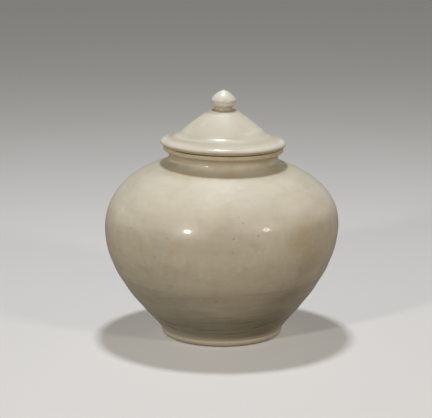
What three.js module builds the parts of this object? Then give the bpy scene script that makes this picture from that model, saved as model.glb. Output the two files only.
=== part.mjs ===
// Lidded porcelain jar: a thrown body with a flared lip, a domed cover and its bud knob.
// Millimetres, +Z up. The origin is the centre of the base, on the surface the jar stands on.
// Every piece is turned about +Z from an outline of (radius, height) points.

import * as THREE from "three";

// Foot of the jar
const footRadius = 54;
const footWallHeight = 5.2;
const footBevelWidth = 3.6;
const footBevelHeight = 2.4;
const footRingWidth = 10;
const footRecessDepth = 2;
const footRecessRound = 1.2;

// Body of the jar: the sweeps are the straight pulls of its two long curves
const footSweep = 7.8;
const footLean = 0.8;
const bellyRadius = 103.9;
const bellyHeight = 98.9;
const bellySweepBelow = 47.5;
const bellySweepAbove = 36.2;
const shoulderSweep = 12.2;
const shoulderPitch = THREE.MathUtils.degToRad(19.5);

// Neck and lip: the shoulder runs into the neck, and the lip flares out of it
const neckRadius = 48.2;
const neckHeight = 159.8;
const neckHollowReach = 8.8;
const neckHollowDrop = 6.2;
const neckSweepIn = 4.2;
const neckSweepUp = 3.4;
const lipFlare = 4.8;
const lipFlareRise = 7.4;
const lipSweepLow = 4.4;
const lipSweepHigh = 1.6;
const lipEdgeHeight = 3.2;
const rimRound = 0.7;

// Walls of the jar
const footWall = 8.5;
const bellyWall = 5.5;
const neckWall = 4.6;
const floorThickness = 9;
const floorRound = 14;

// Cover: its brim lies flat on the rim, and its flange hangs inside the mouth
const brimOverhang = 2.7;
const brimSeatInset = 0.5;
const brimUnderRise = 3.7;
const brimEdgeRise = 3.2;
const brimEdgeInset = 2.9;
const brimEdgeRound = 1.4;
const brimPitch = THREE.MathUtils.degToRad(13);
const brimSweep = 6;
const coneFootRadius = 38.4;
const coneFootRise = 4.1;
const coneFootPitch = THREE.MathUtils.degToRad(45);
const coneFootSweepOut = 2.4;
const coneFootSweepIn = 14.2;
const crownRadius = 12.8;
const crownRise = 20;
const crownPitch = THREE.MathUtils.degToRad(34.2);
const crownSweep = 8.5;
const crownRound = 1.6;
const crownStep = 1;
const coverWall = 4.6;
const flangePlay = 1.6;
const flangeWall = 3.6;
const flangeDepth = 8;
const flangeRound = 0.8;
const flangeRootHeight = 1.5;
const flangeRootSweep = 5;

// Knob: a bud luted to the flat top of the crown
const knobFootRadius = 8.3;
const knobWaistRadius = 7.8;
const knobWaistHeight = 1.2;
const knobWaistSweep = 2;
const knobRadius = 10.95;
const knobWidestHeight = 8.1;
const knobSweepBelow = 4.2;
const knobSweepAbove = 2.6;
const knobHeight = 17.6;
const knobTipReach = 5.6;
const knobTipDrop = 1.4;

// Flat facets in each full turn, and straight steps along the outlines' curves
const vesselFacets = 56;
const knobFacets = 32;
const bodySteps = 12;
const bodySkinSteps = 9;
const neckSteps = 4;
const coneSteps = 8;
const coneSkinSteps = 6;
const budSteps = 8;
const edgeSteps = 3;
const smallEdgeSteps = 2;

// Heights and radii that follow from the dimensions above
const lipRadius = neckRadius + lipFlare;
const lipTurnHeight = neckHeight + lipFlareRise;
const rimHeight = lipTurnHeight + lipEdgeHeight;
const mouthRadius = neckRadius - neckWall;
const brimRadius = lipRadius + brimOverhang;
const brimEdgeRadius = brimRadius - brimEdgeInset;
const brimTopHeight = brimUnderRise + brimEdgeRise;
const coneFootHeight = brimTopHeight + coneFootRise;
const crownEdgeHeight = coneFootHeight + crownRise;
const crownHeight = crownEdgeHeight + crownStep;
const flangeRadius = mouthRadius - flangePlay;

function point(radius, height) {
  return new THREE.Vector2(radius, height);
}

// A point reached from start by a straight run, in a direction that climbs towards the axis at pitch
function towardsAxis(start, pitch, run) {
  return point(start.x - run * Math.cos(pitch), start.y + run * Math.sin(pitch));
}

function curve(start, startPull, endPull, end) {
  return new THREE.CubicBezierCurve(start, startPull, endPull, end);
}

function rounded(start, corner, end, steps) {
  return new THREE.QuadraticBezierCurve(start, corner, end).getPoints(steps);
}

// Outline points without any that repeats the one before it
function joined(...stretches) {
  const outline = [];
  const apart = 0.01;
  for (const next of stretches.flat()) {
    if (outline.length === 0 || outline.at(-1).distanceTo(next) > apart) {
      outline.push(next);
    }
  }
  return outline;
}

// Points of the inner skin: each lies one wall thickness inside a point of the outer curve,
// square to it. The outer curves run upwards.
function innerSkin(outerCurve, steps, wallAt) {
  const skin = [];
  for (let step = 0; step <= steps; step += 1) {
    const onCurve = outerCurve.getPoint(step / steps);
    const along = outerCurve.getTangent(step / steps);
    const wall = wallAt(onCurve.y);
    skin.push(point(onCurve.x - wall * along.y, onCurve.y + wall * along.x));
  }
  return skin;
}

function turned(name, outline, facets, finish) {
  const geometry = new THREE.LatheGeometry(outline, facets);
  geometry.rotateX(Math.PI / 2);
  const mesh = new THREE.Mesh(geometry, new THREE.MeshStandardMaterial(finish));
  mesh.name = name;
  return mesh;
}

// The curves of the jar's outside, from the foot up to the lip
function jarCurves() {
  const footTop = point(footRadius, footWallHeight);
  const belly = point(bellyRadius, bellyHeight);
  const neck = point(neckRadius, neckHeight);
  const hollow = point(neckRadius + neckHollowReach, neckHeight - neckHollowDrop);
  const lip = point(lipRadius, lipTurnHeight);
  return {
    lowerBody: curve(
      footTop,
      point(footRadius + footLean, footWallHeight + footSweep),
      point(bellyRadius, bellyHeight - bellySweepBelow),
      belly,
    ),
    shoulder: curve(
      belly,
      point(bellyRadius, bellyHeight + bellySweepAbove),
      towardsAxis(hollow, shoulderPitch, -shoulderSweep),
      hollow,
    ),
    neckHollow: curve(
      hollow,
      towardsAxis(hollow, shoulderPitch, neckSweepIn),
      point(neckRadius, neckHeight - neckSweepUp),
      neck,
    ),
    lipFlareOut: curve(
      neck,
      point(neckRadius, neckHeight + lipSweepLow),
      point(lipRadius, lipTurnHeight - lipSweepHigh),
      lip,
    ),
  };
}

// The wall thins from the foot to the belly, and again from the belly to the neck
function jarWallAt(height) {
  if (height < bellyHeight) {
    const share = THREE.MathUtils.clamp(height / bellyHeight, 0, 1);
    return THREE.MathUtils.lerp(footWall, bellyWall, Math.sqrt(share));
  }
  const share = THREE.MathUtils.clamp((height - bellyHeight) / (neckHeight - bellyHeight), 0, 1);
  return THREE.MathUtils.lerp(bellyWall, neckWall, share);
}

function jarOutside() {
  const curves = jarCurves();
  const ringInner = footRadius - footBevelWidth - footRingWidth;
  const standing = footRadius - footBevelWidth;
  return joined(
    point(0, footRecessDepth),
    rounded(
      point(ringInner - footRecessRound, footRecessDepth),
      point(ringInner, footRecessDepth),
      point(ringInner + footRecessRound, 0),
      smallEdgeSteps,
    ),
    rounded(
      point(standing, 0),
      point(footRadius, 0),
      point(footRadius, footBevelHeight),
      edgeSteps,
    ),
    curves.lowerBody.getPoints(bodySteps),
    curves.shoulder.getPoints(bodySteps),
    curves.neckHollow.getPoints(neckSteps),
    curves.lipFlareOut.getPoints(neckSteps),
    rounded(
      point(lipRadius, rimHeight - rimRound),
      point(lipRadius, rimHeight),
      point(lipRadius - rimRound, rimHeight),
      smallEdgeSteps,
    ),
  );
}

function jarInside() {
  const curves = jarCurves();
  const rimInner = lipRadius - neckWall;
  const floorTop = footRecessDepth + floorThickness;
  const throat = point(mouthRadius, neckHeight);
  const throatFlare = curve(
    throat,
    point(mouthRadius, neckHeight + lipSweepLow),
    point(rimInner, lipTurnHeight - lipSweepHigh),
    point(rimInner, rimHeight - rimRound),
  );
  const wall = joined(
    innerSkin(curves.lowerBody, bodySkinSteps, jarWallAt),
    innerSkin(curves.shoulder, bodySkinSteps, jarWallAt),
    innerSkin(curves.neckHollow, neckSteps, jarWallAt),
    throatFlare.getPoints(neckSteps),
  ).filter((skinPoint) => skinPoint.y > floorTop + floorRound / 2);
  const lowest = wall[0];
  const floorCorner = point(lowest.x - floorRound / 2, floorTop);
  const floorStart = point(floorCorner.x - floorRound, floorTop);
  const floorEdge = rounded(floorStart, floorCorner, lowest, edgeSteps);
  return joined(
    rounded(
      point(rimInner + rimRound, rimHeight),
      point(rimInner, rimHeight),
      point(rimInner, rimHeight - rimRound),
      smallEdgeSteps,
    ),
    wall.reverse(),
    floorEdge.reverse(),
    point(0, floorTop),
  );
}

// The cover's own heights start at the plane where its brim lies on the rim
function coverCurves() {
  const brimEdge = point(brimEdgeRadius, brimTopHeight);
  const coneFoot = point(coneFootRadius, coneFootHeight);
  const crownEdge = point(crownRadius, crownEdgeHeight);
  return {
    brimTop: curve(
      brimEdge,
      towardsAxis(brimEdge, brimPitch, brimSweep),
      towardsAxis(coneFoot, coneFootPitch, -coneFootSweepOut),
      coneFoot,
    ),
    cone: curve(
      coneFoot,
      towardsAxis(coneFoot, coneFootPitch, coneFootSweepIn),
      towardsAxis(crownEdge, crownPitch, -crownSweep),
      crownEdge,
    ),
  };
}

function coverOutside() {
  const curves = coverCurves();
  const brimSeatRadius = lipRadius - brimSeatInset;
  const brimSide = curve(
    point(brimSeatRadius, 0),
    point(lipRadius, brimEdgeRound),
    point(brimRadius, brimUnderRise - brimEdgeRound),
    point(brimRadius, brimUnderRise),
  );
  const brimEdge = curve(
    point(brimRadius, brimUnderRise),
    point(brimRadius, brimUnderRise + brimEdgeRound),
    towardsAxis(point(brimEdgeRadius, brimTopHeight), brimPitch, -brimEdgeRound),
    point(brimEdgeRadius, brimTopHeight),
  );
  const crownEdge = point(crownRadius, crownEdgeHeight);
  const crownCorner = towardsAxis(crownEdge, crownPitch, crownStep / Math.sin(crownPitch));
  return joined(
    brimSide.getPoints(neckSteps),
    brimEdge.getPoints(neckSteps),
    curves.brimTop.getPoints(coneSteps),
    curves.cone.getPoints(coneSteps),
    rounded(crownEdge, crownCorner, point(crownCorner.x - crownRound, crownHeight), edgeSteps),
    point(0, crownHeight),
  );
}

function coverInside() {
  const curves = coverCurves();
  const flangeInner = flangeRadius - flangeWall;
  const dome = innerSkin(curves.cone, coneSkinSteps, () => coverWall);
  const root = curve(
    point(flangeInner, flangeRootHeight),
    point(flangeInner, flangeRootHeight + flangeRootSweep),
    towardsAxis(dome[0], coneFootPitch, -coneFootSweepOut),
    dome[0],
  );
  return joined(
    point(0, crownHeight - coverWall),
    dome.reverse(),
    root.getPoints(neckSteps).reverse(),
    rounded(
      point(flangeInner, flangeRound - flangeDepth),
      point(flangeInner, -flangeDepth),
      point(flangeInner + flangeRound, -flangeDepth),
      smallEdgeSteps,
    ),
    rounded(
      point(flangeRadius - flangeRound, -flangeDepth),
      point(flangeRadius, -flangeDepth),
      point(flangeRadius, flangeRound - flangeDepth),
      smallEdgeSteps,
    ),
    point(flangeRadius, 0),
  );
}

// The knob's own heights start at its foot
function knobOutside() {
  const waist = point(knobWaistRadius, knobWaistHeight);
  const widest = point(knobRadius, knobWidestHeight);
  const body = curve(
    waist,
    point(knobWaistRadius, knobWaistHeight + knobWaistSweep),
    point(knobRadius, knobWidestHeight - knobSweepBelow),
    widest,
  );
  const bud = curve(
    widest,
    point(knobRadius, knobWidestHeight + knobSweepAbove),
    point(knobTipReach, knobHeight - knobTipDrop),
    point(0, knobHeight),
  );
  const footCorner = point(knobWaistRadius, knobWaistHeight / 2);
  return joined(
    point(0, 0),
    rounded(point(knobFootRadius, 0), footCorner, waist, smallEdgeSteps),
    body.getPoints(budSteps),
    bud.getPoints(budSteps),
  );
}

const bodyGlaze = { color: 0xcac2ab, roughness: 0.26, metalness: 0 };
const coverGlaze = { color: 0xd3ccb7, roughness: 0.24, metalness: 0 };
const knobGlaze = { color: 0xd8d2c0, roughness: 0.24, metalness: 0 };

const lid = new THREE.Group();
lid.add(turned("lid", joined(coverInside(), coverOutside()), vesselFacets, coverGlaze));
const lidKnob = turned("lid_knob", knobOutside(), knobFacets, knobGlaze);
lidKnob.position.z = crownHeight;
lid.add(lidKnob);
lid.position.z = rimHeight;

const liddedJar = new THREE.Group();
liddedJar.add(turned("jar", joined(jarOutside(), jarInside()), vesselFacets, bodyGlaze));
liddedJar.add(lid);

export default liddedJar;
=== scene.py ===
import math

import bmesh
import bpy
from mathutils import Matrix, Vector, noise
from mathutils.geometry import interpolate_bezier


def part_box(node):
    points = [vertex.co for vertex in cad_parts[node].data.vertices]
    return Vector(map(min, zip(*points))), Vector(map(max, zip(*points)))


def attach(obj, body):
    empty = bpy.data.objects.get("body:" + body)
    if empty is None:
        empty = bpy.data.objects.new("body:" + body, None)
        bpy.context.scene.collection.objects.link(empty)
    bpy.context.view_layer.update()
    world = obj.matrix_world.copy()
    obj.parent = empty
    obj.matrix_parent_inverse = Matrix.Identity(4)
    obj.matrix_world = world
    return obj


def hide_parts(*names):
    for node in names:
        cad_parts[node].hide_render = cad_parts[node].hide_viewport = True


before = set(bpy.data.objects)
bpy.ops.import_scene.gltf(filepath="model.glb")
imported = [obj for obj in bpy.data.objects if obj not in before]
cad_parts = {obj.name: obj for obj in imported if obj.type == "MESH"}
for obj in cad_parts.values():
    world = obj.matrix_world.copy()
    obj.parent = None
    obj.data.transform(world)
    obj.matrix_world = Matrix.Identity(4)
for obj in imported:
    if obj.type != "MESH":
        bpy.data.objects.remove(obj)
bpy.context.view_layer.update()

# A lidded porcelain jar. The jar, its cover and the cover's knob are turned from outlines, then warped a
# little as the fired pot is. Outlines and marks are in millimetres, the rest of the scene in metres.
mm = 0.001


# Camera, set for a frame of 432 by 418 pixels
cameraSetup = {
    "distance": 1.600,
    "aside": -0.0054,
    "height": 0.4677,
    "pitchDown": 12.513,
    "lens": 153.27,
    "sensor": 36.0,
}
cameraData = bpy.data.cameras.new("camera")
cameraData.lens = cameraSetup["lens"]
cameraData.sensor_width = cameraSetup["sensor"]
camera = bpy.data.objects.new("camera", cameraData)
camera.location = (cameraSetup["aside"], -cameraSetup["distance"], cameraSetup["height"])
camera.rotation_euler = (math.radians(90 - cameraSetup["pitchDown"]), 0, 0)
bpy.context.collection.objects.link(camera)
bpy.context.scene.camera = camera
print("camera set")


# Outlines: points of radius and height, in the order that they are turned. The last number of a stretch
# is how many steps it is cut into.
def at(radius, height):
    return Vector((radius, height))


def straight(start, end, steps):
    return [start.lerp(end, step / steps) for step in range(steps + 1)]


def sweep(start, startPull, endPull, end, steps):
    return interpolate_bezier(start, startPull, endPull, end, steps + 1)


def corner(start, tip, end, steps=6):
    # A rounded corner: both pulls go two thirds of the way to its tip
    return sweep(start, start.lerp(tip, 2 / 3), end.lerp(tip, 2 / 3), end, steps)


def climb(start, pitch, run):
    # The point reached by a run that climbs towards the axis at pitch degrees
    return at(start.x - run * math.cos(math.radians(pitch)), start.y + run * math.sin(math.radians(pitch)))


samePoint = 0.02             # where two stretches meet, their shared end counts once
weld = 0.001
driftPace = 1.4              # how fast slow noise changes round the pot


def turn(name, stretches, sectors, warp, groove):
    # Spins an outline about +Z. A stretch is its points, how bare of glaze it is, and how far it is inside.
    wheel = bmesh.new()
    bareLayer = wheel.verts.layers.float.new("bare")
    insideLayer = wheel.verts.layers.float.new("inside")
    grooveLayer = wheel.verts.layers.float.new("groove")
    last = None
    for points, bare, inside in stretches:
        for spot in points:
            place = Vector((spot.x * mm, 0, spot.y * mm))
            if last and (last.co - place).length < samePoint * mm:
                continue
            vertex = wheel.verts.new(place)
            vertex[bareLayer] = bare
            vertex[insideLayer] = inside
            if last:
                wheel.edges.new((last, vertex))
            last = vertex
    bmesh.ops.spin(
        wheel,
        geom=wheel.verts[:] + wheel.edges[:],
        cent=(0, 0, 0),
        axis=(0, 0, 1),
        angle=math.tau,
        steps=sectors,
        use_merge=True,
    )
    bmesh.ops.remove_doubles(wheel, verts=wheel.verts, dist=weld * mm)
    bmesh.ops.recalc_face_normals(wheel, faces=wheel.faces)
    for vertex in wheel.verts:
        place = vertex.co / mm
        vertex[grooveLayer] = groove(place)
        vertex.co = warp(place, vertex[insideLayer]) * mm
    for face in wheel.faces:
        face.smooth = True
    mesh = bpy.data.meshes.new(name)
    wheel.to_mesh(mesh)
    wheel.free()
    piece = bpy.data.objects.new(name, mesh)
    bpy.context.collection.objects.link(piece)
    print(name, "turned,", len(mesh.polygons), "faces")
    return piece


def noStroke(place):
    # The cover and the knob have no trimming strokes
    return 0


def outward(place, push):
    # Moves a point away from the axis, in millimetres
    radius = math.hypot(place.x, place.y)
    if radius < samePoint:
        return place
    share = push / radius
    return Vector((place.x * (1 + share), place.y * (1 + share), place.z))


def smoothStep(value, low, high):
    share = min(max((value - low) / (high - low), 0), 1)
    return share * share * (3 - 2 * share)


def driftAround(angle, shift):
    # Slow noise that closes on itself round the pot
    return noise.noise(Vector((math.cos(angle), math.sin(angle), 0)) * driftPace + shift)


def lumps(place, layers):
    # Uneven surface. A layer is its depth, the size of a lump and a shift of its own.
    return sum(deep * noise.noise(place / size + Vector((shift, 0, 0))) for deep, size, shift in layers)


# Jar: the belly's width and the rim's height come from the frame, the rest is as measured
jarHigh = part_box("jar")[1] / mm
jarShape = {
    "footRadius": 54.0,
    "footWall": 5.2,
    "footBevel": (4.8, 4.2),
    "footRing": 8.8,
    "footRecess": 2.0,
    "recessRound": 1.2,
    "footPull": (0.8, 7.8),
    "bellyRadius": jarHigh.x,
    "bellyHeight": 98.9,
    "bellyPulls": (47.5, 36.2),
    "shoulderPitch": 19.5,
    "shoulderPull": 12.2,
    "neckRadius": 48.2,
    "neckHeight": 161.2,
    "neckHollow": (8.8, 7.6),
    "neckPulls": (4.4, 4.2),
    "lipFlare": 4.8,
    "lipRise": 6.0,
    "lipPulls": (3.6, 1.4),
    "rimHeight": jarHigh.z,
    "rimRound": 0.9,
    "rimOuterRound": 1.6,
    "bellyInside": 5.5,      # wall at the belly, and at the neck
    "neckInside": 4.6,
    "hollowInside": (2.2, 4.2),
    "innerPulls": (43.5, 34.2),
    "floor": 11.0,
    "floorEdge": (1.5, 5.0),     # where wall turns to floor: in from the foot's radius, and up
    "floorPulls": (9.5, 4.5),
    "floorRound": 15.0,
    "floorFlat": 24.0,
}
jarWarp = {
    "lean": 1.1,             # the lower body stands to the left, the neck to the right
    "leanSpan": 112.0,
    "rimTilt": 1.25,         # degrees, right side down
    "tiltRise": (112.0, 156.0),
    "oval": 0.12,
    "ovalTurn": 0.7,
    "frontRings": (29.0, 30.0, 0.30),    # finger rings: a proud height, spacing, depth
    "sideRings": (21.0, 19.5, 0.20),
    "ringFront": (0.35, 0.70),           # how far a point faces forward, where front rings take over
    "ringBottom": (12, 30),
    "ringTop": (150, 140),
    "ringCalm": (42, 100, 0.8),          # they die down to a fifth between these heights
    "ringDrift": 0.15,
    "driftSpan": 70,
    "unevenness": ((0.16, 34, 3), (0.035, 8, 0)),
    "roughBottom": (4, 14),
    "roughTop": (168, 150),
    "insideRing": 0.35,
    "insideSpacing": 8.5,
    "insideTop": (158, 130),
    "insideFloor": (13, 0.4),            # below this height they rise from the floor, at this share
    "strokeHeights": (8, 36),            # no stroke reaches past these
    "strokeTaper": 0.3,
    "strokes": (             # trimming strokes: from and to as azimuth and height, depth, half width
        ((-60, 24.4), (-36, 17.6), 0.40, 1.5),
        ((-62, 19.0), (-38, 12.6), 0.44, 1.4),
        ((20, 16.6), (58, 27.4), 0.34, 1.4),
        ((32, 16.4), (62, 22.6), 0.26, 1.2),
        ((-24, 17.0), (6, 18.2), 0.17, 1.2),
        ((-2, 12.6), (24, 15.0), 0.17, 1.2),
        ((-20, 27.2), (2, 26.4), 0.12, 1.2),
        ((4, 25.2), (30, 27.4), 0.15, 1.2),
        ((34, 12.4), (60, 17.4), 0.32, 1.3),
        ((-14, 33.4), (12, 32.2), 0.10, 1.2),
        ((112, 21.0), (150, 17.2), 0.36, 1.5),
        ((136, 15.0), (186, 18.0), 0.28, 1.3),
        ((176, 16.4), (214, 21.0), 0.34, 1.5),
        ((-124, 24.0), (-88, 18.0), 0.38, 1.5),
    ),
}


def jarOutline(shape):
    foot = at(shape["footRadius"], shape["footWall"])
    belly = at(shape["bellyRadius"], shape["bellyHeight"])
    neck = at(shape["neckRadius"], shape["neckHeight"])
    hollow = neck + at(shape["neckHollow"][0], -shape["neckHollow"][1])
    lip = neck + at(shape["lipFlare"], shape["lipRise"])
    rim = shape["rimHeight"]
    pitch = shape["shoulderPitch"]
    neckStart, neckEnd = shape["neckPulls"]
    lipStart, lipEnd = shape["lipPulls"]
    rimRound = shape["rimRound"]
    bevelWidth, bevelHeight = shape["footBevel"]
    standing = shape["footRadius"] - bevelWidth
    ringInner = standing - shape["footRing"]
    recess = shape["footRecess"]
    recessRound = shape["recessRound"]
    underFoot = (
        straight(at(0, recess), at(ringInner - recessRound, recess), 14)
        + corner(at(ringInner - recessRound, recess), at(ringInner, recess), at(ringInner + recessRound, 0))
        + straight(at(ringInner + recessRound, 0), at(standing, 0), 6)
        + corner(at(standing, 0), at(foot.x, 0), at(foot.x, bevelHeight))
    )
    lowerBody = sweep(
        foot,
        foot + at(*shape["footPull"]),
        belly - at(0, shape["bellyPulls"][0]),
        belly,
        136,
    )
    shoulder = sweep(
        belly,
        belly + at(0, shape["bellyPulls"][1]),
        climb(hollow, pitch, -shape["shoulderPull"]),
        hollow,
        50,
    )
    neckCurve = sweep(hollow, climb(hollow, pitch, neckStart), neck - at(0, neckEnd), neck, 14)
    lipCurve = sweep(neck, neck + at(0, lipStart), lip - at(0, lipEnd), lip, 14)
    rimInner = lip.x - shape["neckInside"]
    outerRound = shape["rimOuterRound"]
    lipEdge = straight(lip, at(lip.x, rim - outerRound), 3)
    rimOut = corner(at(lip.x, rim - outerRound), at(lip.x, rim), at(lip.x - outerRound, rim), 8)
    rimIn = corner(at(rimInner + rimRound, rim), at(rimInner, rim), at(rimInner, rim - rimRound))
    throat = at(neck.x - shape["neckInside"], neck.y)
    throatCurve = sweep(
        at(rimInner, rim - rimRound),
        at(rimInner, lip.y - lipEnd),
        throat + at(0, lipStart),
        throat,
        14,
    )
    innerHollow = hollow - at(*shape["hollowInside"])
    innerNeck = sweep(
        throat,
        throat - at(0, neckEnd),
        climb(innerHollow, pitch, neckStart / 2),
        innerHollow,
        8,
    )
    innerBelly = belly - at(shape["bellyInside"], 0)
    innerShoulder = sweep(
        innerHollow,
        climb(innerHollow, pitch, -shape["shoulderPull"]),
        innerBelly + at(0, shape["innerPulls"][1]),
        innerBelly,
        26,
    )
    edgeIn, edgeUp = shape["floorEdge"]
    pullUp, pullDown = shape["floorPulls"]
    floorEdge = at(foot.x - edgeIn, shape["floor"] + edgeUp)
    flatEdge = at(foot.x - shape["floorFlat"], shape["floor"])
    innerBody = sweep(
        innerBelly,
        innerBelly - at(0, shape["innerPulls"][0]),
        floorEdge + at(pullUp, pullUp),
        floorEdge,
        30,
    )
    floorCurve = sweep(
        floorEdge,
        floorEdge - at(pullDown, pullDown),
        at(foot.x - shape["floorRound"], shape["floor"]),
        flatEdge,
        8,
    )
    floorFlat = straight(flatEdge, at(0, shape["floor"]), 12)
    return [
        (underFoot, 1, 0),
        (straight(at(foot.x, bevelHeight), foot, 2), 0, 0),
        (lowerBody + shoulder + neckCurve + lipCurve + lipEdge + rimOut, 0, 0),
        (rimIn, 1, 1),
        (throatCurve + innerNeck + innerShoulder + innerBody + floorCurve + floorFlat, 0, 1),
    ]


def strokeDepth(place):
    # How far the trimming strokes cut in at a point of the outside, deepest along each one's line
    warp = jarWarp
    lowest, highest = warp["strokeHeights"]
    if not lowest < place.z < highest or math.hypot(place.x, place.y) < jarShape["footRadius"]:
        return 0
    azimuth = math.degrees(math.atan2(place.x, -place.y))
    end = warp["strokeTaper"]
    cut = 0
    for (startAzimuth, startHeight), (endAzimuth, endHeight), depth, halfWidth in warp["strokes"]:
        turned = (azimuth - startAzimuth + 180) % 360 - 180
        share = turned / (endAzimuth - startAzimuth)
        if 0 < share < 1:
            line = startHeight + share * (endHeight - startHeight)
            taper = smoothStep(share, 0, end) * smoothStep(share, 1, 1 - end)
            cut += depth * taper * smoothStep(abs(place.z - line), halfWidth, 0)
    return cut


def fingerRings(place, angle):
    # The rings that the potter's fingers left on the outside, wider apart at the front
    warp = jarWarp
    drift = driftAround(angle, Vector((0, 0, place.z / warp["driftSpan"])))
    calmFrom, calmTo, calm = warp["ringCalm"]
    fading = smoothStep(place.z, *warp["ringBottom"]) * smoothStep(place.z, *warp["ringTop"])
    fading *= 1 - calm * smoothStep(place.z, calmFrom, calmTo)
    front = smoothStep(-math.sin(angle), *warp["ringFront"])
    for share, (proud, spacing, depth) in ((front, warp["frontRings"]), (1 - front, warp["sideRings"])):
        phase = (place.z - proud) / spacing + warp["ringDrift"] * drift
        place = outward(place, share * depth * fading * math.cos(math.tau * phase))
    return place


def insideRings(place, angle):
    # One spiral up the inside wall and over the floor
    warp = jarWarp
    turns = (math.hypot(place.x, place.y) + place.z) / warp["insideSpacing"] + angle / math.tau
    push = warp["insideRing"] * smoothStep(place.z, *warp["insideTop"]) * math.sin(math.tau * turns)
    floorTop, weaker = warp["insideFloor"]
    if place.z < floorTop:
        return place + Vector((0, 0, weaker * push))
    return outward(place, push)


def jarPlace(place, inside):
    # Where a point of the turned jar lies on the fired one, in millimetres
    warp = jarWarp
    angle = math.atan2(place.y, place.x)
    if inside > 0.5:
        place = insideRings(place, angle)
    else:
        place = fingerRings(place, angle)
        place = outward(place, -strokeDepth(place))
        body = smoothStep(place.z, *warp["roughBottom"]) * smoothStep(place.z, *warp["roughTop"])
        place = outward(place, body * lumps(place, warp["unevenness"]))
    place = outward(place, warp["oval"] * math.cos(2 * angle + warp["ovalTurn"]))
    lean = -warp["lean"] * math.sin(math.pi * place.z / warp["leanSpan"])
    tilt = math.tan(math.radians(warp["rimTilt"])) * smoothStep(place.z, *warp["tiltRise"])
    return Vector((place.x + lean, place.y, place.z - tilt * place.x))


jar = turn("thrown_jar", jarOutline(jarShape), sectors=256, warp=jarPlace, groove=strokeDepth)


# Cover: its own heights start at the plane where the brim lies on the rim
lidLow, lidHigh = (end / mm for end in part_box("lid"))
coverShape = {
    "seatRadius": 50.8,
    "gapSlope": (2.6, 0.45),  # the thin gap that runs in between brim and lip
    "sideFoot": (0.7, 0.8),
    "sideCurl": 0.2,
    "sidePulls": (0.3, 1.0),
    "brimRadius": lidHigh.x,
    "brimWidest": 2.66,
    "brimTop": 5.94,
    "brimInset": 3.34,
    "brimRound": 1.14,
    "brimPitch": 14.1,
    "brimPull": 5.8,
    "coneFootRadius": 37.4,
    "coneFootRise": 6.0,
    "coneFootPitch": 44.8,
    "coneFootPulls": (1.9, 13.0),
    "crownRadius": 12.8,
    "crownRise": 19.06,
    "crownPitch": 34.2,
    "crownPull": 8.3,
    "crownRound": 1.6,
    "crownHeight": lidHigh.z - jarHigh.z,
    "wall": 4.6,
    "domeFoot": 3.22,         # how far in and down the hollow's edge lies from the cone's foot
    "domeTop": (3.4, 4.2),    # and its upper curve from the crown's edge
    "domeFlat": 3.0,
    "flangeRoot": (6.5, 1.5),  # heights of the curve from the dome to the flange
    "flangeRadius": 42.0,
    "flangeWall": 3.6,
    "flangeDepth": jarHigh.z - lidLow.z,
    "flangeRound": 0.9,
}
coverWarp = {
    "aside": 0.8,
    "tilt": jarWarp["rimTilt"],
    "oval": 0.15,
    "ovalTurn": 2.1,
    "ovalFrom": (10, 50),
    "unevenness": ((0.12, 22, 9), (0.03, 6, 0)),
    "roughFrom": (9, 16),     # the crown stays flat under the knob
    "ringSpacing": 5.6,
    "ringDepth": 0.035,
    "ringInner": (14, 20),
    "ringOuter": (55, 50),
    "ringDrift": 3,
    "driftSpan": 40,
    "driftShift": 5,
}


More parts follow.
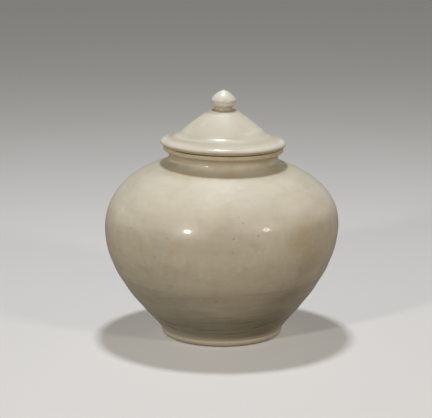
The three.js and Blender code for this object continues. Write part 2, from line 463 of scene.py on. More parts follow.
def coverOutline(shape):
    top = shape["crownHeight"]
    conePitch = shape["coneFootPitch"]
    crownPitch = shape["crownPitch"]
    brimEdge = at(shape["brimRadius"] - shape["brimInset"], shape["brimTop"])
    coneFoot = at(shape["coneFootRadius"], shape["brimTop"] + shape["coneFootRise"])
    crownEdge = at(shape["crownRadius"], coneFoot.y + shape["crownRise"])
    crownRun = (top - crownEdge.y) / math.sin(math.radians(crownPitch))
    crownCorner = climb(crownEdge, crownPitch, crownRun)
    crownFlat = at(crownCorner.x - shape["crownRound"], top)
    widest = at(shape["brimRadius"], shape["brimWidest"])
    gap = at(shape["seatRadius"], 0) + at(*shape["gapSlope"])
    sideFoot = gap + at(*shape["sideFoot"])
    sidePull = at(*shape["sidePulls"])
    brimSide = (
        straight(at(shape["seatRadius"], 0), gap, 5)
        + corner(gap, at(sideFoot.x - shape["sideCurl"], gap.y), sideFoot, 5)
        + sweep(sideFoot, sideFoot + sidePull, widest - at(0, sidePull.y), widest, 8)
    )
    brimRounded = sweep(
        widest,
        widest + at(0, shape["brimRound"]),
        climb(brimEdge, shape["brimPitch"], -shape["brimRound"]),
        brimEdge,
        12,
    )
    brimTop = sweep(
        brimEdge,
        climb(brimEdge, shape["brimPitch"], shape["brimPull"]),
        climb(coneFoot, conePitch, -shape["coneFootPulls"][0]),
        coneFoot,
        24,
    )
    cone = sweep(
        coneFoot,
        climb(coneFoot, conePitch, shape["coneFootPulls"][1]),
        climb(crownEdge, crownPitch, -shape["crownPull"]),
        crownEdge,
        40,
    )
    crown = corner(crownEdge, crownCorner, crownFlat) + straight(crownFlat, at(0, top), 8)
    outer = shape["flangeRadius"]
    inner = outer - shape["flangeWall"]
    depth = shape["flangeDepth"]
    curl = shape["flangeRound"]
    flat = shape["domeFlat"]
    rootTop, rootFoot = shape["flangeRoot"]
    domeFoot = coneFoot - at(shape["domeFoot"], shape["domeFoot"])
    domeTop = crownEdge - at(*shape["domeTop"])
    domeFlat = at(0, top - shape["wall"])
    dome = straight(domeFlat, domeFlat + at(flat, 0), 2) + sweep(
        domeFlat + at(flat, 0),
        domeFlat + at(2 * flat, 0),
        climb(domeTop, crownPitch, flat),
        domeTop,
        6,
    ) + sweep(
        domeTop,
        climb(domeTop, crownPitch, -shape["crownPull"]),
        climb(domeFoot, conePitch, shape["coneFootPulls"][1]),
        domeFoot,
        24,
    )
    flangeRoot = sweep(
        domeFoot,
        climb(domeFoot, conePitch, -shape["coneFootPulls"][0]),
        at(inner, rootTop),
        at(inner, rootFoot),
        8,
    )
    flange = (
        straight(at(inner, rootFoot), at(inner, curl - depth), 5)
        + corner(at(inner, curl - depth), at(inner, -depth), at(inner + curl, -depth))
        + corner(at(outer - curl, -depth), at(outer, -depth), at(outer, curl - depth))
        + straight(at(outer, curl - depth), at(outer, 0), 5)
    )
    seat = straight(at(outer, 0), at(shape["seatRadius"], 0), 6)
    return [
        (dome + flangeRoot, 0, 1),
        (flange + seat, 1, 1),
        (brimSide + brimRounded + brimTop + cone + crown, 0, 0),
    ]


def seated(place):
    # Tips a point of the cover or knob as the cover lies, and lifts it to the rim
    tilt = math.radians(coverWarp["tilt"])
    return Vector((
        place.x * math.cos(tilt) + place.z * math.sin(tilt) + coverWarp["aside"],
        place.y,
        place.z * math.cos(tilt) - place.x * math.sin(tilt) + jarShape["rimHeight"],
    ))


def coverPlace(place, inside):
    warp = coverWarp
    angle = math.atan2(place.y, place.x)
    radius = math.hypot(place.x, place.y)
    if inside < 0.5:
        drift = driftAround(angle, Vector((warp["driftShift"], 0, radius / warp["driftSpan"])))
        ring = math.cos(math.tau * radius / warp["ringSpacing"] + warp["ringDrift"] * drift)
        ringFade = smoothStep(radius, *warp["ringInner"]) * smoothStep(radius, *warp["ringOuter"])
        ring *= warp["ringDepth"] * ringFade * (1 + drift)
        rough = lumps(place, warp["unevenness"]) * smoothStep(radius, *warp["roughFrom"])
        place = Vector((place.x, place.y, place.z + ring + rough))
    oval = warp["oval"] * math.cos(2 * angle + warp["ovalTurn"]) * smoothStep(radius, *warp["ovalFrom"])
    return seated(outward(place, oval))


cover = turn("cover", coverOutline(coverShape), sectors=240, warp=coverPlace, groove=noStroke)


# Knob: a bud luted to the crown, its own heights start at its foot
knobLow, knobHigh = (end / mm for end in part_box("lid_knob"))
knobShape = {
    "sunk": 0.25,            # its foot sinks this far into the crown
    "footRadius": 8.9,
    "filletPulls": (0.3, 0.2, 0.6),
    "waistRadius": 7.8,
    "waistHeight": 1.6,
    "waistPull": 2.0,
    "radius": knobHigh.x,
    "widest": 8.1,
    "pullBelow": 4.2,
    "pullAbove": 2.6,
    "height": knobHigh.z - knobLow.z,
    "tipReach": 5.6,
    "tipDrop": 1.4,
}
knobWarp = {
    "aside": -0.5,
    "oval": 0.10,
    "unevenness": ((0.16, 5.5, 2),),
    "roughFrom": (0.5, 4),
    "crease": 7.0,           # the cap of the bud overhangs a shallow crease
    "creaseWave": 0.5,
    "creaseTurn": 1,
    "creaseDepth": 0.34,
    "creaseWidth": 1.5,
    "cap": (2.2, 2.4),       # its edge above the crease: how high, how wide, with lumps round it
    "lumps": 7,
    "lumpDepth": 0.18,
    "lumpDrift": 2,
}


def knobOutline(shape):
    waist = at(shape["waistRadius"], shape["waistHeight"])
    widest = at(shape["radius"], shape["widest"])
    tip = at(0, shape["height"])
    footEdge = at(shape["footRadius"], -shape["sunk"])
    pullOut, pullUp, pullDown = shape["filletPulls"]
    foot = straight(at(0, -shape["sunk"]), footEdge, 6)
    fillet = sweep(footEdge, at(waist.x + pullOut, pullUp), waist - at(0, pullDown), waist, 6)
    body = sweep(
        waist,
        waist + at(0, shape["waistPull"]),
        widest - at(0, shape["pullBelow"]),
        widest,
        24,
    )
    bud = sweep(
        widest,
        widest + at(0, shape["pullAbove"]),
        tip + at(shape["tipReach"], -shape["tipDrop"]),
        tip,
        32,
    )
    return [(foot, 1, 0), (fillet + body + bud, 0, 0)]


def knobPlace(place, inside):
    warp = knobWarp
    angle = math.atan2(place.y, place.x)
    rough = lumps(place, warp["unevenness"])
    below = warp["crease"] + warp["creaseWave"] * math.sin(2 * angle + warp["creaseTurn"])
    rough -= warp["creaseDepth"] * smoothStep(abs(place.z - below), warp["creaseWidth"], 0)
    capRise, capWidth = warp["cap"]
    capEdge = smoothStep(abs(place.z - below - capRise), capWidth, 0)
    rough += warp["lumpDepth"] * capEdge * math.cos(warp["lumps"] * angle + warp["lumpDrift"] * rough)
    fading = smoothStep(place.z, *warp["roughFrom"])
    place = outward(place, fading * (rough + warp["oval"] * math.cos(2 * angle)))
    return seated(place + Vector((warp["aside"], 0, coverShape["crownHeight"])))


knob = turn("bud_knob", knobOutline(knobShape), sectors=96, warp=knobPlace, groove=noStroke)


# Shader maths
class Wire:
    # A shader socket that sums and products can be written on, and that adds nodes beside itself
    def __init__(self, tree, socket=None):
        self.tree = tree
        self.socket = socket

    def node(self, kind, settings, values, output=0):
        made = self.tree.nodes.new(kind)
        for name, value in settings.items():
            setattr(made, name, value)
        for name, value in values.items():
            if isinstance(value, Wire):
                self.tree.links.new(value.socket, made.inputs[name])
            else:
                made.inputs[name].default_value = value
        return Wire(self.tree, made.outputs[output])

    def maths(self, operation, first, second):
        return self.node("ShaderNodeMath", {"operation": operation}, {0: first, 1: second})

    def __add__(self, other):
        return self.maths("ADD", self, other)

    def __radd__(self, other):
        return self.maths("ADD", other, self)

    def __sub__(self, other):
        return self.maths("SUBTRACT", self, other)

    def __rsub__(self, other):
        return self.maths("SUBTRACT", other, self)

    def __mul__(self, other):
        return self.maths("MULTIPLY", self, other)

    def __rmul__(self, other):
        return self.maths("MULTIPLY", other, self)


def fade(value, start, end, low=0.0, high=1.0):
    # Goes smoothly from low at start to high at end
    return value.node(
        "ShaderNodeMapRange",
        {"interpolation_type": "SMOOTHSTEP"},
        {"Value": value, "From Min": start, "From Max": end, "To Min": low, "To Max": high},
    )


def fadeMm(value, start, end, low=0.0, high=1.0):
    # The same, with start and end in millimetres
    return fade(value, start * mm, end * mm, low, high)


def mottle(place, size, detail, seed):
    # Cloudy noise whose patches are about as wide as size, in millimetres
    return place.node(
        "ShaderNodeTexNoise",
        {"noise_dimensions": "4D"},
        {"Vector": place, "W": seed, "Scale": 0.5 / (size * mm), "Detail": detail},
    )


def stretched(place, factors):
    return place.node("ShaderNodeVectorMath", {"operation": "MULTIPLY"}, {0: place, 1: factors})


def patch(place, centre, size, core):
    # 1 from core inwards in an ellipsoid, 0 from its surface on. Centre and size are in millimetres.
    offset = place.node(
        "ShaderNodeVectorMath",
        {"operation": "SUBTRACT"},
        {0: place, 1: Vector(centre) * mm},
    )
    scaled = place.node("ShaderNodeVectorMath", {"operation": "DIVIDE"}, {0: offset, 1: Vector(size) * mm})
    reach = place.node("ShaderNodeVectorMath", {"operation": "LENGTH"}, {0: scaled}, 1)
    return fade(reach, 1.0, core)


def stain(under, over, share):
    # Mixes a colour over another
    over = over if isinstance(over, Wire) else (*over, 1)
    under = under if isinstance(under, Wire) else (*under, 1)
    return share.node("ShaderNodeMix", {"data_type": "RGBA"}, {0: share, 6: under, 7: over}, 2)


def inBand(value, low, high, soft):
    # 1 between two sizes in millimetres, 0 beyond them
    return fadeMm(value, low - soft, low + soft) * fadeMm(value, high + soft, high - soft)


def separate(place, axis):
    return place.node("ShaderNodeSeparateXYZ", {}, {0: place}, axis)


def larger(first, second):
    return first.maths("MAXIMUM", first, second)


def cloud(place, size, detail, seed, start, end, low, high):
    # Mottle that goes from low where the noise is under start to high where it is over end
    return fade(mottle(place, size, detail, seed), start, end, low, high)


def attribute(place, name):
    return place.node("ShaderNodeAttribute", {"attribute_name": name}, {}, "Fac")


def levelAt(height, across, tilt):
    # Height, as it was before the piece tipped down to the right
    return height + across * math.tan(math.radians(tilt))


def nearRim(level, start, end):
    # Goes from 0 to 1 between two heights that are measured from the rim
    return fadeMm(level, jarShape["rimHeight"] + start, jarShape["rimHeight"] + end)


def seamShadeShare(across):
    # Painted shade in the seam under the brim, over a little real staining: darkest at the middle, fading to
    # the sides
    return fade(across * across, *glazeFinish["seam"])


tints = {
    "cream": (0.695, 0.642, 0.512),
    "lidCream": (0.665, 0.618, 0.508),
    "pale": (0.700, 0.660, 0.550),
    "bright": (0.800, 0.765, 0.670),
    "grey": (0.560, 0.535, 0.430),
    "low": (0.666, 0.604, 0.452),
    "sand": (0.680, 0.600, 0.440),
    "dun": (0.470, 0.405, 0.290),
    "straw": (0.470, 0.395, 0.250),
    "olive": (0.370, 0.330, 0.225),
    "warm": (0.530, 0.400, 0.215),
    "pink": (0.640, 0.530, 0.415),
    "rust": (0.330, 0.190, 0.095),
    # the seam's dark brown is mostly painted shade in the gap under the brim
    "seam": (0.150, 0.100, 0.042),
    "furrow": (0.240, 0.205, 0.135),
    "speck": (0.130, 0.085, 0.050),
    "biscuit": (0.600, 0.510, 0.370),
}

# In the tables below, a fade is where it starts and ends and the shares there, 0 and 1 where left out. A
# band is its two ends and its softness. A noise is its size, detail and seed, a cloud a noise with a fade.
glazeFinish = {
    "roughness": 0.36,
    "wornRoughness": 0.58,
    "bareRoughness": 0.32,   # added where the clay is bare
    "smoother": -0.04,       # patchy change of roughness
    "rougher": 0.06,
    "patches": (0.3, 0.8),   # noise where the smooth and the rough patches start
    "patchNoise": (9, 3, 16),
    "coat": 0.44,
    "coatRoughness": 0.11,
    "ior": 1.5,
    "gritNoise": (0.8, 4, 12),
    "rustyGrit": (0.50, 0.80, 0, 0.45),
    "grain": 0.10,
    "grainDepth": 0.3,
    "skinNoise": (1.4, 2, 20),
    "rippleNoise": (4.0, 1, 22),
    "turningNoise": (1.1, 2, 24),
    "turningStretch": (0.05, 0.05, 1.0),
    "turning": (70.0, 25.0, 0.35, 2.6),  # turning lines show more low down
    "skin": 0.5,             # shares of skin, ripple and the clay's grit in the relief
    "ripple": 2.2,
    "grit": 1.5,
    "busy": (128, 104, 0.80, 1.25),  # busy clouds are weaker high up, stronger from the belly down
    "cloudDetail": 3,
    "clouds": (              # tint, size, stretch, step of the seed, noise from and to, share, busy or not
        ("grey", 60, None, 0, 0.45, 0.75, 0.40, False),
        ("pale", 26, None, 4, 0.48, 0.78, 0.40, False),
        ("grey", 8, (1.0, 1.0, 0.3), 9, 0.45, 0.75, 0.28, False),
        ("warm", 6, None, 9.5, 0.46, 0.75, 0.25, True),
        ("bright", 2.6, None, 10, 0.50, 0.72, 0.24, True),
        ("dun", 1.3, (0.12, 0.12, 1.0), 8, 0.46, 0.72, 0.15, False),
    ),
    "seam": (0.0008, 0.0022, 0.85, 0.35),    # painted shade in the seam, by the square of the way across, in metres
    "speckSpacing": 11,
    "speckReach": (0.050, 0.020),
    "speckPick": (0.78, 0.82, 0, 0.6),   # about one cell in five has a speck
}


def startFinish(name):
    material = bpy.data.materials.new(name)
    material.use_nodes = True
    tree = material.node_tree
    tree.nodes.clear()
    return material, Wire(tree).node("ShaderNodeTexCoord", {}, {}, "Object")


def layer(place, name, seed):
    # One of the noises that every glaze has, shifted by the piece's own seed
    size, detail, step = glazeFinish[name]
    return mottle(place, size, detail, seed + step)


def cloudyGlaze(place, base, seed):
    # Cream glaze with slow clouds, runs, small tinges and freckles, and lines round the pot from its turning
    busy = fadeMm(separate(place, "Z"), *glazeFinish["busy"])
    detail = glazeFinish["cloudDetail"]
    colour = base
    for tint, size, stretch, step, start, end, strength, isBusy in glazeFinish["clouds"]:
        where = stretched(place, stretch) if stretch else place
        share = cloud(where, size, detail, seed + step, start, end, 0, strength)
        colour = stain(colour, tints[tint], share * busy if isBusy else share)
    return colour


def ironSpecks(place, colour, seed):
    # Pinhead specks of iron that come through the glaze here and there
    finish = glazeFinish
    spread = {"voronoi_dimensions": "4D"}
    values = {"Vector": place, "W": seed, "Scale": 1 / (finish["speckSpacing"] * mm)}
    reach = place.node("ShaderNodeTexVoronoi", spread, values, "Distance")
    pick = separate(place.node("ShaderNodeTexVoronoi", spread, values, "Color"), "X")
    share = fade(reach, *finish["speckReach"]) * fade(pick, *finish["speckPick"])
    return stain(colour, tints["speck"], share)


def softStains(place, colour, rows):
    for tint, centre, reach, core, strength in rows:
        colour = stain(colour, tints[tint], patch(place, centre, reach, core) * strength)
    return colour


def finishGlaze(material, place, colour, worn, seed):
    # Joins the colour to the shader. Clay shows where the mesh is bare, the glaze is dull where worn is 1.
    finish = glazeFinish
    bare = attribute(place, "bare")
    grit = layer(place, "gritNoise", seed)
    clay = stain(tints["biscuit"], tints["rust"], fade(grit, *finish["rustyGrit"]))
    colour = stain(colour, clay, bare)
    smoother = finish["roughness"] + finish["smoother"]
    rougher = finish["roughness"] + finish["rougher"]
    roughness = fade(layer(place, "patchNoise", seed), *finish["patches"], smoother, rougher)
    roughness = roughness + worn * (finish["wornRoughness"] - finish["roughness"])
    roughness = roughness + bare * finish["bareRoughness"]
    coat = (1 - bare) * (finish["coat"] - worn * finish["coat"])
    turning = layer(stretched(place, finish["turningStretch"]), "turningNoise", seed)
    turning = turning * fadeMm(separate(place, "Z"), *finish["turning"])
    relief = layer(place, "skinNoise", seed) * finish["skin"]
    relief = relief + layer(place, "rippleNoise", seed) * finish["ripple"]
    relief = relief + turning + grit * bare * finish["grit"]
    normal = place.node(
        "ShaderNodeBump",
        {},
        {"Height": relief, "Strength": finish["grain"], "Distance": finish["grainDepth"] * mm},
    )
    shader = place.node(
        "ShaderNodeBsdfPrincipled",
        {},
        {
            "Base Color": colour,
            "Roughness": roughness,
            "IOR": finish["ior"],
            "Coat Weight": coat,
            "Coat Roughness": finish["coatRoughness"],
            "Normal": normal,
        },
    )
    output = place.tree.nodes.new("ShaderNodeOutputMaterial")
    place.tree.links.new(shader.socket, output.inputs["Surface"])
    return material


# Marks on the jar. Azimuth is in degrees from the front, positive to the right, and lengths in millimetres.
jarMarks = {
    "seed": 1.0,
    "speckSeed": 46.0,
    "stains": (              # tint, azimuth, height, reach across and up, strength
        ("warm", 48.0, 116.0, 24, 16, 0.36),
        ("warm", 43.0, 104.0, 24, 27, 0.56),
        ("warm", 50.1, 86.0, 28, 25, 0.50),
        ("warm", 36.5, 99.7, 16, 19, 0.25),
        ("pink", 50.0, 108.0, 46, 40, 0.34),
        ("warm", -4.0, 116.5, 15, 12, 0.22),
        ("dun", -14.0, 99.0, 68, 13, 0.44),
        ("pale", 22.0, 117.0, 40, 13, 0.50),
        ("warm", -10.0, 104.0, 34, 10, 0.22),
        ("olive", 44.0, 48.0, 44, 26, 0.44),
        ("olive", 28.0, 28.0, 38, 15, 0.46),
        ("pink", 4.0, 52.0, 54, 20, 0.55),
        ("olive", 38.0, 9.0, 22, 6, 0.40),
        # painted shade over a real warm tint: these four rows darken the neck's two sides, where the brim
        # shades them
        ("straw", 62.0, 156.0, 26, 9, 0.75),
        ("warm", 58.0, 155.0, 20, 7, 0.45),
        ("straw", -60.0, 156.0, 24, 9, 0.60),
        ("warm", -64.0, 155.0, 18, 7, 0.30),
        ("sand", -48.0, 24.0, 24, 15, 0.40),
        ("olive", 34.0, 13.0, 26, 9, 0.30),
        # painted light: these five rows brighten the shoulder at its left and right edges and at its right
        # front
        ("bright", 80.0, 134.0, 32, 18, 0.95),
        ("bright", -86.0, 135.0, 24, 15, 0.70),
        ("bright", -84.0, 126.0, 20, 13, 0.40),
        ("bright", 78.0, 123.0, 30, 15, 0.50),
        ("bright", 42.0, 126.0, 40, 15, 0.34),
        ("dun", -22.0, 144.0, 46, 9, 0.18),
        # painted shade: these two rows darken the neck's two sides under the lip
        ("olive", 50.0, 162.0, 24, 5, 0.50),
        ("olive", -62.0, 162.0, 16, 5, 0.45),
        ("warm", 163.0, 96.0, 26, 18, 0.35),
        ("olive", -128.0, 58.0, 34, 20, 0.25),
    ),
    "stainBreaks": (9, 5, 36.0, 0.30, 0.70, 0.45, 1.0),  # cloud that the stains are broken up by
    "specks": (              # azimuth, height, radius
        (-49.5, 110.4, 1.3),
        (-27.0, 107.7, 1.0),
        (-33.3, 90.3, 1.1),
        (7.8, 126.5, 0.9),
        (10.0, 121.8, 1.2),
        (5.3, 109.4, 1.3),
        (17.2, 111.0, 1.2),
        (5.2, 97.6, 0.9),
        (-2.8, 51.8, 1.3),
        (-51.3, 27.0, 1.0),
    ),
    "speckRise": 0.8,
    "speckCore": 0.35,
    "speck": 0.42,
    "low": (112, 88),        # fade to the lower glaze's own tint
    "brushed": (85, 40),     # fade of the olive brush lines
    "brush": (1.7, 3, 31.0, 0.44, 0.68, 0, 0.34),
    "brushStretch": (0.10, 0.10, 1.0),
    "edgeNoise": (13, 2, 41.0),      # the olive zone and the pale band end in a wavy line
    "edgeDepth": 3,
    "edgeRise": 1.0,         # and reach higher at the sides, most on the left
    "edgeSlope": 0.03,
    "olive": (46, 12, 0, 0.62),
    "oliveAcross": (-48, 12, 0.30, 1.0),     # weaker on the left
    "band": (10.6, 6.6, 0, 0.75),
    "footEdgeLight": (6.4, 3.0, 0, 0.60),     # painted light along the foot's lowest edge, which faces down
    "furrow": (0, 0.26, 0, 0.58),    # dark tint by the depth of a stroke
    "rust": (1.6, 0.4, 0, 0.30),
    "neckClouds": (          # tint, band, cloud
        # partly painted shade: the grey clouds darken the neck under the brim, and the olive band is painted
        # shade under the lip
        ("grey", (150.5, 160.8, 3), (8, 4, 61.0, 0.35, 0.65, 0.35, 0.75)),
        ("warm", (150.5, 160.8, 3), (9, 3, 67.0, 0.48, 0.68, 0, 0.42)),
        ("olive", (156.0, 162.5, 2), (5, 4, 71.0, 0.45, 0.70, 0.10, 0.50)),
    ),
    "neckHollow": (          # tint, centre, reach, core, strength
        # painted shadow of the brim on the shoulder round the neck's foot
        ("straw", (0, 0, 150.5), (66, 66, 7.5), 0, 0.8),
    ),
    # painted shadow of the brim at the neck's foot
    "neckShadowBand": (151.0, 157.0, 2),
    "neckShadowMiddle": (0.0006, 0.0022, 0.34, 0),  # painted shadow, strongest at the front middle, by the square of the way across
    "lip": (160.8, 180.0, 1.5),
    "lipStraw": 0.52,
    "lipTop": (164, 167),
    "lipCloud": (4, 4, 75.0, 0.42, 0.68, 0, 0.5),
    "seam": (-1.0, -0.3),    # painted shade in the seam, from the rim
    "seamWorn": (-1.2, -0.4),
    "worn": (126.0, 152.0, 5),       # where the glaze is dull, at the front alone
    "wornFront": (-10, -50),
    "scuffed": (98.0, 122.0, 6),
    "scuff": 0.36,
    "lipWorn": (163.0, 172.0, 1.5),
    "lipDull": 0.95,
    "wornSpots": (           # azimuth, height, reach across and up, core, strength
        (21.0, 117.0, 15, 10, 0.4, 0.64),
        (26.0, 158.0, 22, 9, 0.5, 1.0),
        (-17.0, 160.4, 12, 6, 0.3, 0.58),
    ),
}


def jarSpot(azimuth, height):
    # The point of the jar's outside at an azimuth and a height
    outside = jarOutline(jarShape)[2][0]
    for low, high in zip(outside, outside[1:]):
        if low.y <= height <= high.y:
            radius = low.lerp(high, (height - low.y) / (high.y - low.y)).x
            break
    turned = math.radians(azimuth)
    return jarPlace(Vector((radius * math.sin(turned), -radius * math.cos(turned), height)), 0)


def jarGlaze():
    marks = jarMarks
    material, place = startFinish("body_glaze")
    height = separate(place, "Z")
    across = separate(place, "X")
    square = across * across
    level = levelAt(height, across, jarWarp["rimTilt"])
    base = stain(tints["cream"], tints["low"], fadeMm(height, *marks["low"]))
    colour = cloudyGlaze(place, base, marks["seed"])
    brushed = cloud(stretched(place, marks["brushStretch"]), *marks["brush"])
    colour = stain(colour, tints["olive"], brushed * fadeMm(height, *marks["brushed"]))
    broken = cloud(place, *marks["stainBreaks"])
    for tint, azimuth, middle, reach, rise, strength in marks["stains"]:
        share = patch(place, jarSpot(azimuth, middle), (reach, reach, rise), 0)
        colour = stain(colour, tints[tint], share * broken * strength)

    # The foot: olive zone, pale band, painted light along its lowest edge, strokes and a rusty edge
    outside = 1 - attribute(place, "inside")
    deep = marks["edgeDepth"]
    edge = height - square * marks["edgeRise"] + across * marks["edgeSlope"]
    edge = edge + mottle(place, *marks["edgeNoise"]) * (deep * mm) - deep / 2 * mm
    olive = fadeMm(edge, *marks["olive"]) * fadeMm(across, *marks["oliveAcross"])
    colour = stain(colour, tints["olive"], olive * outside)
    colour = stain(colour, tints["sand"], fadeMm(edge, *marks["band"]) * outside)
    # painted light: the foot's lowest edge is painted paler
    colour = stain(colour, tints["bright"], fadeMm(height, *marks["footEdgeLight"]))
    colour = stain(colour, tints["furrow"], fade(attribute(place, "groove"), *marks["furrow"]))
    colour = stain(colour, tints["rust"], fadeMm(height, *marks["rust"]))

    # The neck and lip, with painted shade on the neck under the brim and the lip
    for tint, band, spread in marks["neckClouds"]:
        colour = stain(colour, tints[tint], inBand(height, *band) * cloud(place, *spread))
    # painted shadow of the brim round the neck's foot, strongest at the front middle
    colour = softStains(place, colour, marks["neckHollow"])
    middle = fade(square, *marks["neckShadowMiddle"])
    colour = stain(colour, tints["straw"], inBand(height, *marks["neckShadowBand"]) * middle)
    colour = stain(colour, tints["straw"], inBand(height, *marks["lip"]) * marks["lipStraw"])
    blotches = cloud(place, *marks["lipCloud"])
    colour = stain(colour, tints["warm"], blotches * fadeMm(height, *marks["lipTop"]))
    # painted shade in the seam under the brim
    colour = stain(colour, tints["seam"], nearRim(level, *marks["seam"]) * seamShadeShare(across))

    colour = ironSpecks(place, colour, marks["speckSeed"])
    for azimuth, middle, radius in marks["specks"]:
        size = (radius, radius, radius * marks["speckRise"])
        share = patch(place, jarSpot(azimuth, middle), size, marks["speckCore"])
        colour = stain(colour, tints["speck"], share * marks["speck"])

    worn = inBand(height, *marks["worn"]) * fadeMm(separate(place, "Y"), *marks["wornFront"])
    worn = larger(worn, inBand(height, *marks["scuffed"]) * marks["scuff"])
    worn = larger(worn, nearRim(level, *marks["seamWorn"]))
    worn = larger(worn, inBand(height, *marks["lipWorn"]) * marks["lipDull"])
    for azimuth, middle, reach, rise, core, strength in marks["wornSpots"]:
        worn = larger(worn, patch(place, jarSpot(azimuth, middle), (reach, reach, rise), core) * strength)
    return finishGlaze(material, place, colour, worn, marks["seed"])


# Marks on the cover, placed in the jar's own axes, in millimetres
coverMarks = {
    "seed": 2.0,
    "speckSeed": 52.0,
    "frontShade": (          # tint, centre, reach, core, strength
        ("dun", (-8, -45, 178.5), (40, 11, 9), 0.2, 0.36),
    ),
    "left": (12, -20),       # fade from the right side to the left
    "aside": (0.0001, 0.0006),       # away from the middle, by the square of the way across
    "rings": (               # tint, band, share at the right, how much more at the left, aside alone or not
        ("dun", (42.0, 47.5, 2.2), 0.36, 0.28, False),
        ("dun", (30.0, 42.0, 3.0), 0, 0.14, False),
        # painted light: the two bright rings lighten the cone's foot and the brim's edge at the left and
        # right; the brim's edge is also partly paler thin glaze
        ("bright", (33.0, 39.0, 2.0), 0.55, -0.55, True),
        ("bright", (52.0, 60.0, 1.5), 0.45, -0.30, True),
    ),
    "stains": (              # tint, centre, reach, core, strength
        # painted light: the brim is brighter at its left and right ends
        ("bright", (-55, -8, 177), (8, 24, 7), 0.3, 0.50),
        ("bright", (56, -10, 175.5), (8, 24, 7), 0.3, 0.50),
        # painted shade on the cone's front middle, and painted light on its left and right
        ("grey", (-2, -30, 190), (26, 22, 17), 0, 0.75),
        ("bright", (31, -14, 189), (19, 22, 17), 0, 0.55),
        ("bright", (-34, -14, 186), (15, 22, 14), 0, 0.45),
    ),
    "side": (175.2, 172.8, 0, 0.75),     # straw-coloured side of the brim
    "seam": (1.1, 0.4),      # painted shade in the seam, from the rim
    "seamWorn": (1.4, 0.6),
    "pits": (1.6, 2, 73.0, 0.60, 0.70, 0, 0.55),
    "pitsBottom": (0.2, 1.8),        # from the rim
    "pitsTop": (5.8, 4.2),
    "knobShadowRing": (15.8, 12.5, 0, 0.66),   # painted shadow of the knob on the crown, round its foot
    "pool": (35.4, 40.0, 0.8),       # thick glossy glaze where the cone meets the brim
    "edge": (51.0, 53.0),    # and along the brim's edge
    "edgeMiddle": (0.00022, 0.00013),    # at the middle, by the square of the way across
    "wornFront": (4, -12, 0.25, 1.0),
}


def coverGlaze():
    marks = coverMarks
    material, place = startFinish("cover_glaze")
    height = separate(place, "Z")
    across = separate(place, "X")
    square = across * across
    level = levelAt(height, across, coverWarp["tilt"])
    radius = place.node("ShaderNodeVectorMath", {"operation": "LENGTH"}, {0: stretched(place, (1, 1, 0))}, 1)
    colour = cloudyGlaze(place, tints["lidCream"], marks["seed"])
    colour = softStains(place, colour, marks["frontShade"])
    aside = fade(square, *marks["aside"])
    left = fadeMm(across, *marks["left"])
    for tint, band, strength, leftMore, asideAlone in marks["rings"]:
        share = inBand(radius, *band) * (left * leftMore + strength)
        colour = stain(colour, tints[tint], share * aside if asideAlone else share)
    # stains, among them painted light and painted shade on the brim and the cone
    colour = softStains(place, colour, marks["stains"])
    colour = stain(colour, tints["straw"], fadeMm(level, *marks["side"]))
    # painted shade in the seam under the brim
    colour = stain(colour, tints["seam"], nearRim(level, *marks["seam"]) * seamShadeShare(across))
    pitted = nearRim(level, *marks["pitsBottom"]) * nearRim(level, *marks["pitsTop"])
    colour = stain(colour, tints["warm"], cloud(place, *marks["pits"]) * pitted)
    # painted shadow of the knob on the crown
    colour = stain(colour, tints["olive"], fadeMm(radius, *marks["knobShadowRing"]))
    colour = ironSpecks(place, colour, marks["speckSeed"])
    thick = fadeMm(radius, *marks["edge"]) * fade(square, *marks["edgeMiddle"])
    thick = inBand(radius, *marks["pool"]) + thick
    worn = (1 - thick) * fadeMm(separate(place, "Y"), *marks["wornFront"])
    worn = larger(worn, nearRim(level, *marks["seamWorn"]))
    return finishGlaze(material, place, colour, worn, marks["seed"])


knobMarks = {
    "seed": 3.0,
    "speckSeed": 58.0,
    "capNoise": (5, 2, 57.0),
    "capDepth": 3,
    "cap": (208.0, 214.5, 0, 0.78),      # painted light: the cap, lit by the lamp above, is painted paler
    "bulge": (205.8, 208.4, 0.8),        # painted light: so is the bulge below the crease, which faces down, away from the lamp above
    "bulgeShare": 0.75,
    "pool": (205.0, 203.4, 0, 0.62),     # darker towards the knob's foot: partly glaze run down, partly painted shade under the bulge
    # painted shade in the crease under the cap
    "crease": (209.6, 209.6, 1.0),
    "creaseShadeShare": 0.3,
}


def knobGlaze():
    marks = knobMarks
    material, place = startFinish("knob_glaze")
    height = separate(place, "Z")
    edge = height + mottle(place, *marks["capNoise"]) * (marks["capDepth"] * mm)
    colour = cloudyGlaze(place, tints["lidCream"], marks["seed"])
    # painted light: the cap and the bulge below the crease are painted paler
    colour = stain(colour, tints["bright"], fadeMm(edge, *marks["cap"]))
    colour = stain(colour, tints["bright"], inBand(height, *marks["bulge"]) * marks["bulgeShare"])
    # partly painted shade under the bulge
    colour = stain(colour, tints["olive"], fadeMm(height, *marks["pool"]))
    # painted shade in the crease under the cap
    colour = stain(colour, tints["olive"], inBand(height, *marks["crease"]) * marks["creaseShadeShare"])
    colour = ironSpecks(place, colour, marks["speckSeed"])
    return finishGlaze(material, place, colour, 0, marks["seed"])


jar.data.materials.append(jarGlaze())
cover.data.materials.append(coverGlaze())
knob.data.materials.append(knobGlaze())

for piece, body, node, slot in (
    (jar, "jar", "jar", "body_glaze"),
    (cover, "lid", "lid", "cover_glaze"),
    (knob, "lid", "lid_knob", "knob_glaze"),
):
    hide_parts(node)
    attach(piece, body)
print("pieces placed")


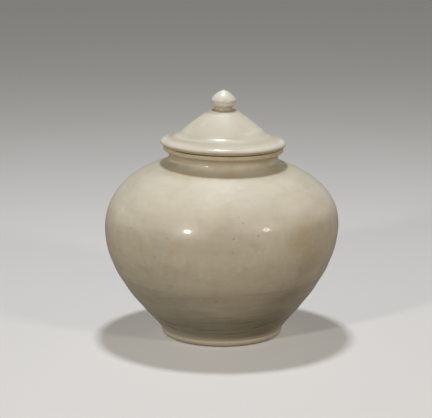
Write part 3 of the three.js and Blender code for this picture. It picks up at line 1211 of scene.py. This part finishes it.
# Studio: a pale floor, a small soft light overhead and two low ones in front
studio = {
    "floorRadius": 7.0,
    "floorColour": (0.62, 0.61, 0.59),
    "floorRoughness": 0.9,
    "floorGlow": 0.25,       # keeps the far floor pale
    "aim": (0, 0, 0.11),
    "backdrop": 0.75,
    "sides": 1.40,           # low soft panels to the left and right
    "sidesTint": (1.0, 0.94, 0.74),
    "sidesAcross": (0.50, 0.85),     # edges of the panels as parts of a direction's length
    "sidesDepth": (-0.45, 0.0),
    "sidesBottom": (0.02, 0.12),
    "sidesTop": (0.42, 0.25),
    "sidesRight": (-0.3, 0.3, 1.0, 0.90),    # the right one is a little dimmer
    "behind": 0.30,          # a dim one behind
    "behindDepth": (0.75, 0.93),
    "behindBottom": (-0.12, 0.02),
    "under": 0.20,           # weak glow off the floor
    "underTint": (1.0, 0.87, 0.76),
    "underTints": (-0.05, 0.05),
    "underTop": (0.02, -0.10),
    "underBottom": (-0.90, -0.40),
}
lamps = {
    "key": {"place": (-0.025, 0.185, 1.270), "size": 0.15, "power": 9.5, "tint": (0.91, 0.94, 1.0)},
    "left": {"place": (-0.841, -1.246, 0.662), "size": 0.16, "power": 9.8, "tint": (1.0, 0.95, 0.89)},
    "right": {"place": (1.044, -1.082, 0.688), "size": 0.24, "power": 7.5, "tint": (1.0, 0.91, 0.82)},
}


def makeFloor():
    ground = bmesh.new()
    bmesh.ops.create_circle(ground, cap_ends=True, radius=studio["floorRadius"], segments=96)
    mesh = bpy.data.meshes.new("floor")
    ground.to_mesh(mesh)
    ground.free()
    floor = bpy.data.objects.new("floor", mesh)
    bpy.context.collection.objects.link(floor)
    material = bpy.data.materials.new("floor_paper")
    material.use_nodes = True
    shader = material.node_tree.nodes["Principled BSDF"]
    shader.inputs["Base Color"].default_value = (*studio["floorColour"], 1)
    shader.inputs["Roughness"].default_value = studio["floorRoughness"]
    shader.inputs["Emission Color"].default_value = (*studio["floorColour"], 1)
    shader.inputs["Emission Strength"].default_value = studio["floorGlow"]
    mesh.materials.append(material)
    floor.visible_diffuse = False
    floor.visible_glossy = False


def makeLamp(name, lamp):
    data = bpy.data.lights.new(name, "AREA")
    data.shape = "DISK"
    data.size = lamp["size"]
    data.energy = lamp["power"]
    data.color = lamp["tint"]
    light = bpy.data.objects.new(name, data)
    light.location = lamp["place"]
    towards = Vector(studio["aim"]) - light.location
    light.rotation_euler = towards.to_track_quat("-Z", "Y").to_euler()
    bpy.context.collection.objects.link(light)


def makeWorld():
    # A bright backdrop for the camera. The jar sees soft panels beside and behind it, and the floor's glow
    world = bpy.data.worlds.new("studio")
    world.use_nodes = True
    bpy.context.scene.world = world
    tree = world.node_tree
    tree.nodes.clear()
    start = Wire(tree)
    seen = start.node("ShaderNodeLightPath", {}, {}, "Is Camera Ray")
    way = start.node("ShaderNodeTexCoord", {}, {}, "Generated")
    upward = separate(way, "Z")
    across = separate(way.node("ShaderNodeVectorMath", {"operation": "ABSOLUTE"}, {0: way}), "X")
    depth = separate(way, "Y")
    sides = fade(across, *studio["sidesAcross"]) * fade(depth, *studio["sidesDepth"])
    sides = sides * fade(upward, *studio["sidesBottom"]) * fade(upward, *studio["sidesTop"])
    sides = sides * fade(separate(way, "X"), *studio["sidesRight"])
    behind = fade(depth, *studio["behindDepth"]) * fade(upward, *studio["behindBottom"])
    under = fade(upward, *studio["underTop"]) * fade(upward, *studio["underBottom"])
    around = sides * studio["sides"] + behind * studio["behind"] + under * studio["under"]
    strength = seen * studio["backdrop"] + (1 - seen) * around
    colour = stain(studio["underTint"], studio["sidesTint"], fade(upward, *studio["underTints"]))
    colour = stain(colour, (1, 1, 1), seen)
    light = start.node("ShaderNodeBackground", {}, {"Color": colour, "Strength": strength})
    output = tree.nodes.new("ShaderNodeOutputWorld")
    tree.links.new(light.socket, output.inputs["Surface"])


makeFloor()
for lampName, lampValues in lamps.items():
    makeLamp(lampName, lampValues)
makeWorld()
bpy.context.scene.view_settings.view_transform = "Standard"
print("studio lit")
